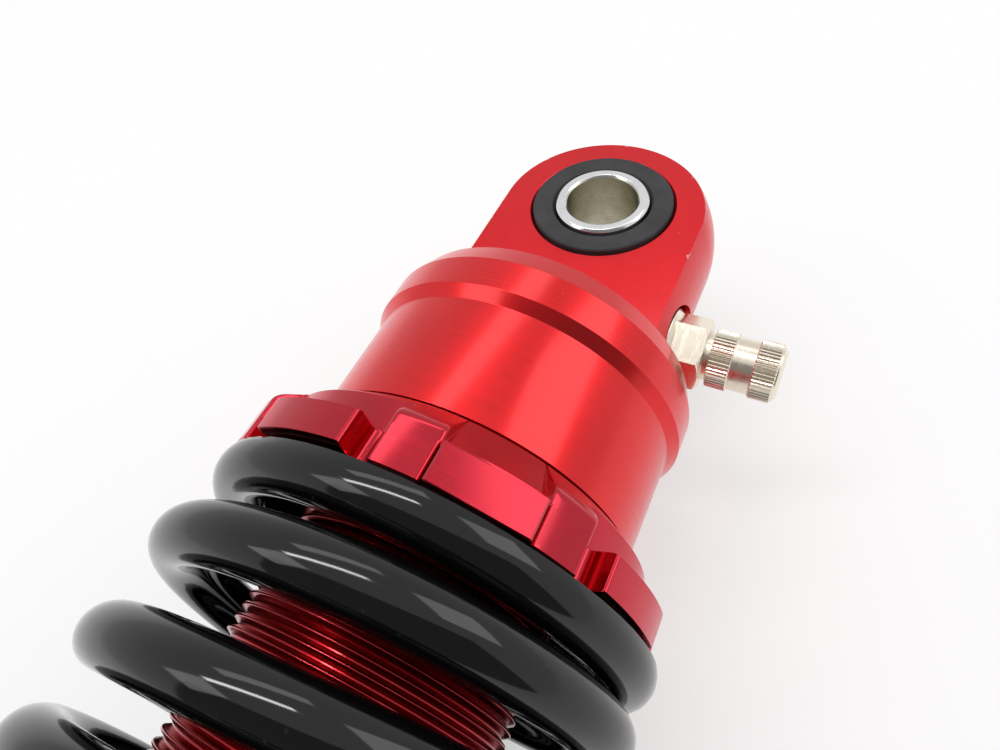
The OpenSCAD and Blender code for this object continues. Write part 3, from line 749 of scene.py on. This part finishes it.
groove_top, groove_end = SEAL_GROOVE
tube_profile = [
    (TUBE_BORE_R, PLUG_TOP), (PLUG_R, PLUG_TOP),
    (PLUG_R, groove_top), (SEAL_GROOVE_R, groove_top), (SEAL_GROOVE_R, groove_end), (PLUG_R, groove_end),
    (PLUG_R, PLUG_END), (THREAD_R, PLUG_END),
]
for turn in range(THREAD_TURNS):
    top = THREAD_TOP + turn * THREAD_PITCH
    tube_profile += [(THREAD_R - depth, top + along) for along, depth in THREAD_FORM]
tube_profile += [
    (THREAD_R, THREAD_END), (TUBE_R, THREAD_END), (TUBE_R, TUBE_END), (TUBE_BORE_R, TUBE_END),
]
piece("threaded_tube", lathe(tube_profile, shock, 128), dark_red, "damper", "dark_red_anodised",
      "damper_tube", sharp=40)


# Preload ring

LAND_EDGE = 0.45
LOBE_EDGE = 0.40
PAD_EDGE = 0.35
PAD_FOOT = 0.2
GROOVE_FILLET = 1.4
LOBE_FILLET = 1.1
FLANK_LEAN = 0.06
CORNER_STEPS = 5
CONE_STEP = 0.15
CONE_ROUND = 1.2
PAD_CONE = 0.91
PAD_FLOOR_R = 29.2
PAD_STEPS = 24
BESIDE_PAD = 0.05
HUB_EDGE = 0.06
FOOT_EDGE = (0.2, 0.15)
PER_DEGREE = radians(1) * (GROOVE_R + LAND_R) / 2
PAD_REGION_HALF = (PAD_WINDOW_HALF + LOBE_WINDOW_FROM) / 2


def flank(floor, top, edge, fillet):
    """Rising side of a raised part: sideways distances and radii, from the floor to the top."""
    turns = [pi / 2 * k / CORNER_STEPS for k in range(CORNER_STEPS + 1)]
    low = [(-fillet * (1 - sin(q)), floor + fillet * (1 - cos(q))) for q in turns]
    high = [(FLANK_LEAN + edge * (1 - cos(q)), top - edge * (1 - sin(q))) for q in turns]
    return low + high


def raised(start, end, top, edge, fillets):
    """Outline of a part that stands up between two angles, as angles and radii."""
    rise = [(start + s / PER_DEGREE, r) for s, r in flank(GROOVE_R, top, edge, fillets[0])]
    fall = [(end - s / PER_DEGREE, r) for s, r in reversed(flank(GROOVE_R, top, edge, fillets[1]))]
    return rise + fall


def height_at(outline, angle, outside):
    """Radius of an outline at an angle, or the value outside it."""
    if not outline[0][0] <= angle <= outline[-1][0]:
        return outside
    k = min(bisect_right([a for a, r in outline], angle), len(outline) - 1)
    (a, low), (b, high) = outline[k - 1], outline[k]
    return low + (high - low) * (angle - a) / (b - a) if b > a else high


def ring_outlines():
    """Outlines of the lands, the lobes and the pads round the ring."""
    lands, lobes, pads = [], [], []
    for centre in WINDOW_CENTRES:
        foot = PAD_FOOT if centre in PAD_ANGLES else GROOVE_FILLET
        near, far = PAD_WINDOW_HALF, LOBE_WINDOW_FROM
        lands.append(raised(centre + near, centre + far, LAND_R, LAND_EDGE, (foot, GROOVE_FILLET)))
        lands.append(raised(centre - far, centre - near, LAND_R, LAND_EDGE, (GROOVE_FILLET, foot)))
    half = degrees(atan(PAD_WIDTH / 2 / PAD_REACH))
    flat_half = half - degrees(PAD_EDGE / PAD_REACH)
    corner_r = PAD_REACH / cos(radians(half)) - PAD_EDGE
    for centre in PAD_ANGLES:
        near, far = LOBE_FROM_PAD
        lobes.append(raised(centre + near, centre + far, LOBE_R, LOBE_EDGE, (LOBE_FILLET, LOBE_FILLET)))
        lobes.append(raised(centre - far, centre - near, LOBE_R, LOBE_EDGE, (LOBE_FILLET, LOBE_FILLET)))
        turns = [flat_half * (2 * k / PAD_STEPS - 1) for k in range(PAD_STEPS + 1)]
        flat = [(centre + t, PAD_REACH / cos(radians(t))) for t in turns]
        pads.append([(centre - half, corner_r)] + flat + [(centre + half, corner_r)])
    return lands, lobes, pads


def soft_min(a, b):
    """The lesser of two radii, with the corner between them rounded."""
    near = max(CONE_ROUND - abs(a - b), 0)
    return min(a, b) - near * near / (4 * CONE_ROUND)


def coned(drop, r, pad):
    """Radius on the cone that leads down from the hub. The cone is gentler above a pad."""
    cone = HUB_R + (LAND_R - HUB_R) / LAND_DROP * drop
    floor = min(PAD_FLOOR_R, HUB_R + PAD_CONE * drop) if pad else min(GROOVE_R, cone)
    land = max(floor, soft_min(LAND_R, cone))
    return floor + (land - floor) * (r - GROOVE_R) / (LAND_R - GROOVE_R)


def ring_shape():
    """The ring as rows of points round its axis, from its upper rim down to its lower face."""
    lands, lobes, pads = ring_outlines()
    angles = {a % 360 for outlines in (lands, lobes, pads) for outline in outlines for a, r in outline}
    angles |= {float(a) for a in range(360)}
    for outline in pads:
        angles |= {(outline[0][0] - BESIDE_PAD) % 360, (outline[-1][0] + BESIDE_PAD) % 360}
    angles = sorted(angles)

    def tallest(outlines, outside):
        turns = (-360, 0, 360)
        return [max(height_at(o, a + t, outside) for o in outlines for t in turns) for a in angles]

    base, lobe, pad = tallest(lands, GROOVE_R), tallest(lobes, 0), tallest(pads, 0)
    padded = [any(abs(a - centre) < PAD_REGION_HALF for centre in PAD_ANGLES) for a in angles]
    bore = [RING_BORE_R] * len(angles)
    rows = [(RING_TOP, bore), (RING_TOP, [HUB_R - HUB_EDGE] * len(angles))]
    steps = int((LOBE_TOP - RING_TOP) / CONE_STEP) + 1
    for k in range(1, steps + 1):
        drop = (LOBE_TOP - RING_TOP) * k / steps
        rows.append((RING_TOP + drop, [coned(drop, r, p) for r, p in zip(base, padded)]))
    upper = [max(b, p - LOBE_EDGE, l - LOBE_EDGE) for b, p, l in zip(base, pad, lobe)]
    standing = [max(b, p) for b, p in zip(base, pad)]
    outer = [max(s, l) for s, l in zip(standing, lobe)]
    lower = [max(s, l - LOBE_EDGE) for s, l in zip(standing, lobe)]
    across, along = FOOT_EDGE
    rows += [
        (LOBE_TOP, upper), (LOBE_TOP + LOBE_EDGE / 2, outer), (LOBE_END - LOBE_EDGE / 2, outer),
        (LOBE_END, lower), (LOBE_END, standing), (RING_END - along, standing),
        (RING_END, [r - across for r in standing]), (RING_END, bore),
    ]
    verts, rings = [], []
    for place, radii in rows:
        rings.append(list(range(len(verts), len(verts) + len(angles))))
        verts += [shock(r, place, radians(a)) for r, a in zip(radii, angles)]
    return verts, ring_faces(rings, closed=True)


piece("spanner_ring", ring_shape(), crimson, "preload_ring", "crimson_anodised", "preload_ring", sharp=30)


# Spring

RINGS_PER_TURN = 64
WIRE_SIDES = 28
OPEN_TURNS = COIL_TURNS - 2 * CLOSED_TURNS - EASE_TURNS
COIL_RUN = SPRING_END - SPRING_TOP + 2 * (WIRE_R - TIP_T)
OPEN_GAIN = (COIL_RUN - CLOSED_PITCH * COIL_TURNS) / OPEN_TURNS


def opened(t):
    """Turns of full pitch in t turns, where the pitch rises from nothing over the first ones."""
    if t <= 0:
        return 0
    return t * t / (2 * EASE_TURNS) if t < EASE_TURNS else t - EASE_TURNS / 2


def open_run(t):
    """Turns of open pitch between the upper end and turn t."""
    return opened(t - CLOSED_TURNS) - opened(t - (COIL_TURNS - CLOSED_TURNS - EASE_TURNS))


def flattened(t):
    """Small shift that sets an end turn flat, fading over the first turns."""
    if t > FLAT_TURNS:
        return 0
    return END_FLAT * (1 - t / FLAT_TURNS) * (sin(2 * pi * (t - FLAT_CENTRE)) + FLAT_LEAN)


def swell(t, start, end):
    """A smooth rise and fall between two turns."""
    return sin(pi * (t - start) / (end - start)) ** 2 if start < t < end else 0


def coil_place(t):
    """Place of the wire's centre at turn t. The first turn sags a little at the photograph's side."""
    return (SPRING_TOP - WIRE_R + TIP_T + CLOSED_PITCH * t + OPEN_GAIN * open_run(t)
            - flattened(t) + flattened(COIL_TURNS - t) + END_SAG * swell(t, *SAG_TURNS))


def coil_radius(t):
    """Radius of the wire's centre at turn t. The first turn is wound in a little."""
    return COIL_R - END_DRAW * swell(t, *DRAW_TURNS)


def spring_shape():
    """The wound wire with ground ends, and each ring's share of the compression."""
    rings, verts, shares = [], [], []
    total = COIL_TURNS * RINGS_PER_TURN
    for i in range(total + 1):
        t = i / RINGS_PER_TURN
        place = coil_place(t)
        angle = radians(COIL_START - 360 * t)
        rings.append(list(range(len(verts), len(verts) + WIRE_SIDES)))
        for k in range(WIRE_SIDES):
            turn = 2 * pi * k / WIRE_SIDES
            along = min(SPRING_END, max(SPRING_TOP, place + WIRE_R * cos(turn)))
            verts.append(shock(coil_radius(t) + WIRE_R * sin(turn), along, angle))
        shares += [open_run(t) / OPEN_TURNS] * WIRE_SIDES
    faces = ring_faces(rings, closed=False) + [rings[0][::-1], rings[-1]]
    return (verts, faces), shares


coil, shares = spring_shape()
spring = piece("spring_coil", coil, black_enamel, "spring_top", "black_enamel", "coil_spring", sharp=50)

# The lower end follows the shaft, and each ring of the wire takes its share, so the wire keeps its thickness
pull = spring.vertex_groups.new(name="compression")
for index, share in enumerate(shares):
    if share > 0:
        pull.add([index], min(1.0, share), "REPLACE")
bpy.context.view_layer.update()
lower_end = frame["bodies"]["shaft_assembly"]
hook = spring.modifiers.new("lower_end", "HOOK")
hook.object = lower_end
hook.vertex_group = pull.name
hook.falloff_type = "NONE"
hook.matrix_inverse = lower_end.matrix_world.inverted() @ spring.matrix_world
spring.modifiers.move(1, 0)


# Solids that keep their shape

dress("spring_washer", matt_black, 0.06)
dress("lower_spring_perch", crimson, 0.3, 3)
dress("damper_shaft", shaft_chrome, 0.3)
dress("bump_stop", elastomer, 0.8, 3)
shown = {"spring_washer", "lower_spring_perch", "damper_shaft", "bump_stop"}
replaced = {"eyelet_cap", "lower_eyelet", "upper_bush_rubber", "lower_bush_rubber", "upper_bush_sleeve",
            "lower_bush_sleeve", "valve_cap", "valve_body", "coil_spring", "preload_ring", "damper_tube"}
for name in frame["nodes"]:
    if name not in shown | replaced:
        dress(name, finish_of_slot[slot_of_node[name]])


# Floor, light and camera

FLOOR_HALF = 6.0
FLOOR_COLOUR = (0.87, 0.86, 0.86)
WHITE = (1, 1, 1)
SEEN_WHITE = 0.52
SEEN_LEVEL = 1.0
HORIZON_LEVEL = 0.78
OVERHEAD_LEVEL = 0.72
SKY_HEIGHTS = (0.1, 0.7)
AIM = Vector((-40, 0, 0)) * MM


def stage_plane(name, half_w, half_h):
    """A plane of the stage, which isn't part of the object."""
    mesh = bpy.data.meshes.new(name)
    corners = [(-half_w, -half_h, 0), (half_w, -half_h, 0), (half_w, half_h, 0), (-half_w, half_h, 0)]
    mesh.from_pydata(corners, [], [(0, 1, 2, 3)])
    made = bpy.data.objects.new(name, mesh)
    bpy.context.scene.collection.objects.link(made)
    return made


def stage_material(name):
    """An empty material for the stage, and its tree."""
    made = bpy.data.materials.new(name)
    made.use_nodes = True
    made.node_tree.nodes.clear()
    return made, made.node_tree


def floor():
    """Wide pale floor. The camera, gloss and glass see it nearly white, with the shadow kept."""
    made = stage_plane("floor", FLOOR_HALF, FLOOR_HALF)
    made.location.z = cad_box[0][2]
    paper, tree = stage_material("paper")
    path = node(tree, "LightPath").outputs
    direct = math(tree, "MAXIMUM", path["Is Camera Ray"], path["Is Transmission Ray"])
    seen = math(tree, "MAXIMUM", direct, path["Is Glossy Ray"])
    matt = node(tree, "BsdfDiffuse", {"Color": opaque(FLOOR_COLOUR)}).outputs[0]
    glow = node(tree, "Emission", {"Color": opaque(WHITE), "Strength": SEEN_LEVEL}).outputs[0]
    share = math(tree, "MULTIPLY", seen, SEEN_WHITE)
    mixed = node(tree, "MixShader", {0: share, 1: matt, 2: glow}).outputs[0]
    node(tree, "OutputMaterial", {"Surface": mixed})
    made.data.materials.append(paper)


def facing(direction, distance, along):
    """Placement at a distance from the cap, facing it, with the Y axis laid along a direction."""
    back = Vector(direction).normalized()
    side = Vector(along).cross(back).normalized()
    turned = Matrix((side, back.cross(side), back)).transposed()
    return Matrix.Translation(AIM + back * distance) @ turned.to_4x4()


def lamp(name, direction, distance, size, power, along=(0, 0, 1)):
    """A soft box that faces the cap from a direction."""
    data = bpy.data.lights.new(name, "AREA")
    data.shape = "RECTANGLE"
    data.size, data.size_y = size
    data.energy = power
    made = bpy.data.objects.new(name, data)
    bpy.context.scene.collection.objects.link(made)
    made.matrix_world = facing(direction, distance, along)
    made.visible_camera = False


def dark_card(name, direction, distance, half_w, half_h, level):
    """A dark card that only gloss sees, as where a photographer stands. It throws no shadow."""
    made = stage_plane(name, half_w, half_h)
    made.matrix_world = facing(direction, distance, (0, 0, 1))
    made.visible_camera = False
    made.visible_diffuse = False
    made.visible_shadow = False
    cloth, tree = stage_material(name)
    glow = node(tree, "Emission", {"Color": opaque(WHITE), "Strength": level}).outputs[0]
    node(tree, "OutputMaterial", {"Surface": glow})
    made.data.materials.append(cloth)


def sky():
    """Even pale studio surroundings."""
    world = bpy.data.worlds.new("studio")
    bpy.context.scene.world = world
    world.use_nodes = True
    tree = world.node_tree
    tree.nodes.clear()
    height = node(tree, "SeparateXYZ", {0: node(tree, "TexCoord").outputs["Generated"]}).outputs[2]
    level = ramp(tree, height, *SKY_HEIGHTS, HORIZON_LEVEL, OVERHEAD_LEVEL)
    shade = node(tree, "Background", {"Color": opaque(WHITE), "Strength": level}).outputs[0]
    node(tree, "OutputWorld", {"Surface": shade})


def camera():
    """The camera, where the photograph's was."""
    data = bpy.data.cameras.new("photo_camera")
    data.sensor_width = SENSOR_MM
    data.lens = FOCAL_PIXELS * SENSOR_MM / IMAGE_W
    data.clip_start = 5 * MM
    made = bpy.data.objects.new("photo_camera", data)
    bpy.context.scene.collection.objects.link(made)
    down, heading, roll = radians(CAMERA_DOWN), radians(CAMERA_HEADING), radians(CAMERA_ROLL)
    forward = Vector((cos(heading) * cos(down), sin(heading) * cos(down), -sin(down)))
    level = Vector((sin(heading), -cos(heading), 0))
    upright = level.cross(forward)
    right = level * cos(roll) + upright * sin(roll)
    up = upright * cos(roll) - level * sin(roll)
    turned = Matrix((right, up, -forward)).transposed().to_4x4()
    made.matrix_world = Matrix.Translation(Vector(CAMERA_PLACE) * MM) @ turned
    bpy.context.scene.camera = made


floor()
sky()
lamp("strip", (-0.02, 0.26, 0.965), 0.95, (0.07, 0.70), 2.4, along=(0.41, -0.59, 0.17))
lamp("panel", (0.44, 0.26, 0.80), 0.95, (0.16, 0.70), 0.65, along=(0.48, -0.53, -0.08))
lamp("soft_box", (0.42, -0.60, 0.68), 0.9, (0.5, 0.48), 1.3)
lamp("side", (-0.46, 0.54, 0.71), 0.9, (0.30, 0.34), 0.6)
dark_card("dark_side", (-0.85, -0.23, 0.48), 1.1, 1.3, 0.75, 0.2)
camera()

bpy.context.scene.view_settings.view_transform = "Standard"
